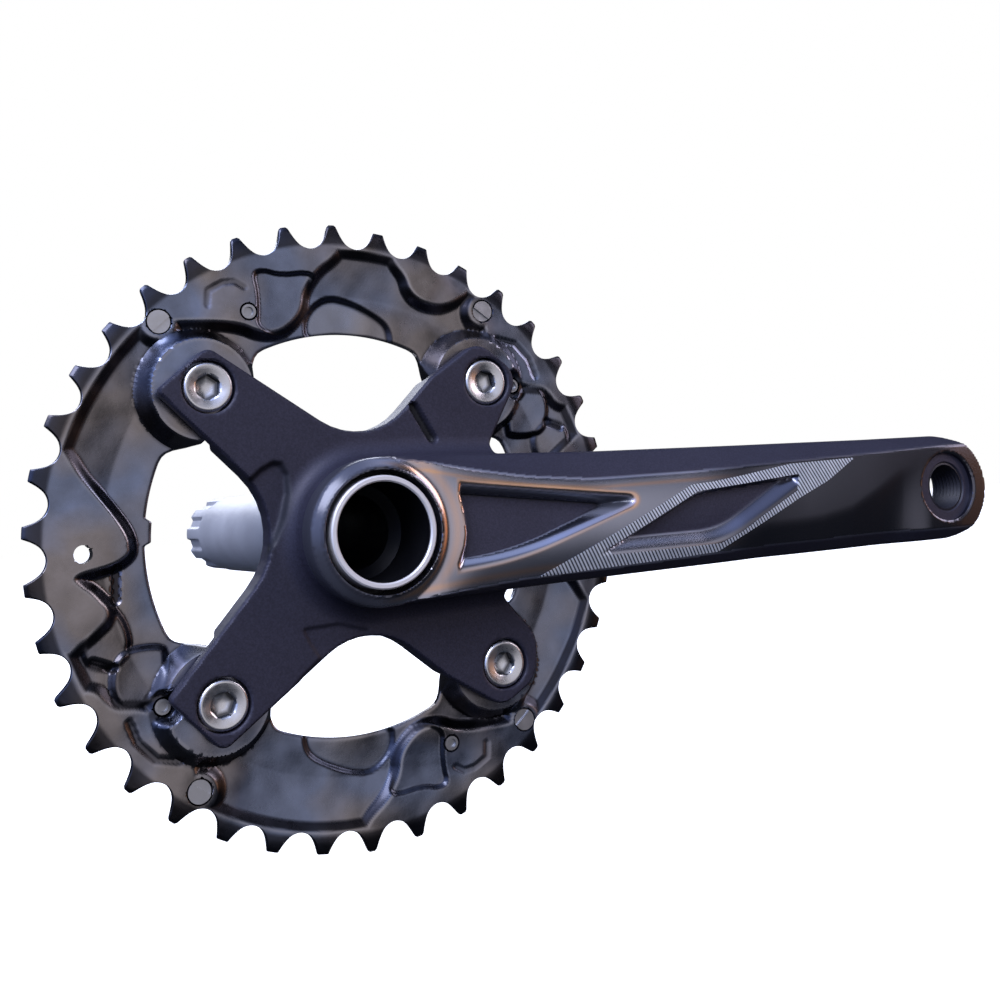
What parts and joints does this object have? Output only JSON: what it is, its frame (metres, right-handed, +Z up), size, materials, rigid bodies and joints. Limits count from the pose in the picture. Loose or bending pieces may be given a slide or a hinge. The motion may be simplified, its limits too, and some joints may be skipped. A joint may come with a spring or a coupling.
{
  "type": "bicycle crankset, drive side",
  "caption": "Drive-side crank arm with four-arm spider, toothed chainring, bolts, nuts, shift pins and hollow splined spindle.",
  "frame": {"origin": "on the spindle axis, at the bicycle's middle plane", "axes": "+X along the crank arm to the pedal eye, spindle along Y with the outer side towards -Y, +Z up"},
  "size_m": [0.2682, 0.1585, 0.158],
  "materials": {
    "arm_black": "forged aluminium, satin black anodised with polished black bevels",
    "ring_black": "machined aluminium, glossy black anodised",
    "spindle_steel": "turned steel, satin nickel plated",
    "bolt_steel": "turned and polished",
    "nut_steel": "turned",
    "pin_steel": "ground and blackened",
    "rivet_steel": "blackened"
  },
  "bodies": {
    "root": {"crank_arm": "arm_black", "spindle": "spindle_steel", "large_chainring": "ring_black", "chainring_bolt_1": "bolt_steel", "chainring_bolt_2": "bolt_steel", "chainring_bolt_3": "bolt_steel", "chainring_bolt_4": "bolt_steel", "chainring_nut_1": "nut_steel", "chainring_nut_2": "nut_steel", "chainring_nut_3": "nut_steel", "chainring_nut_4": "nut_steel", "shift_pin_1": "pin_steel", "shift_pin_2": "pin_steel", "shift_pin_3": "pin_steel", "shift_pin_4": "pin_steel", "ring_rivet_1": "rivet_steel", "ring_rivet_2": "rivet_steel", "ring_rivet_3": "rivet_steel", "ring_rivet_4": "rivet_steel"}
  },
  "joints": []
}
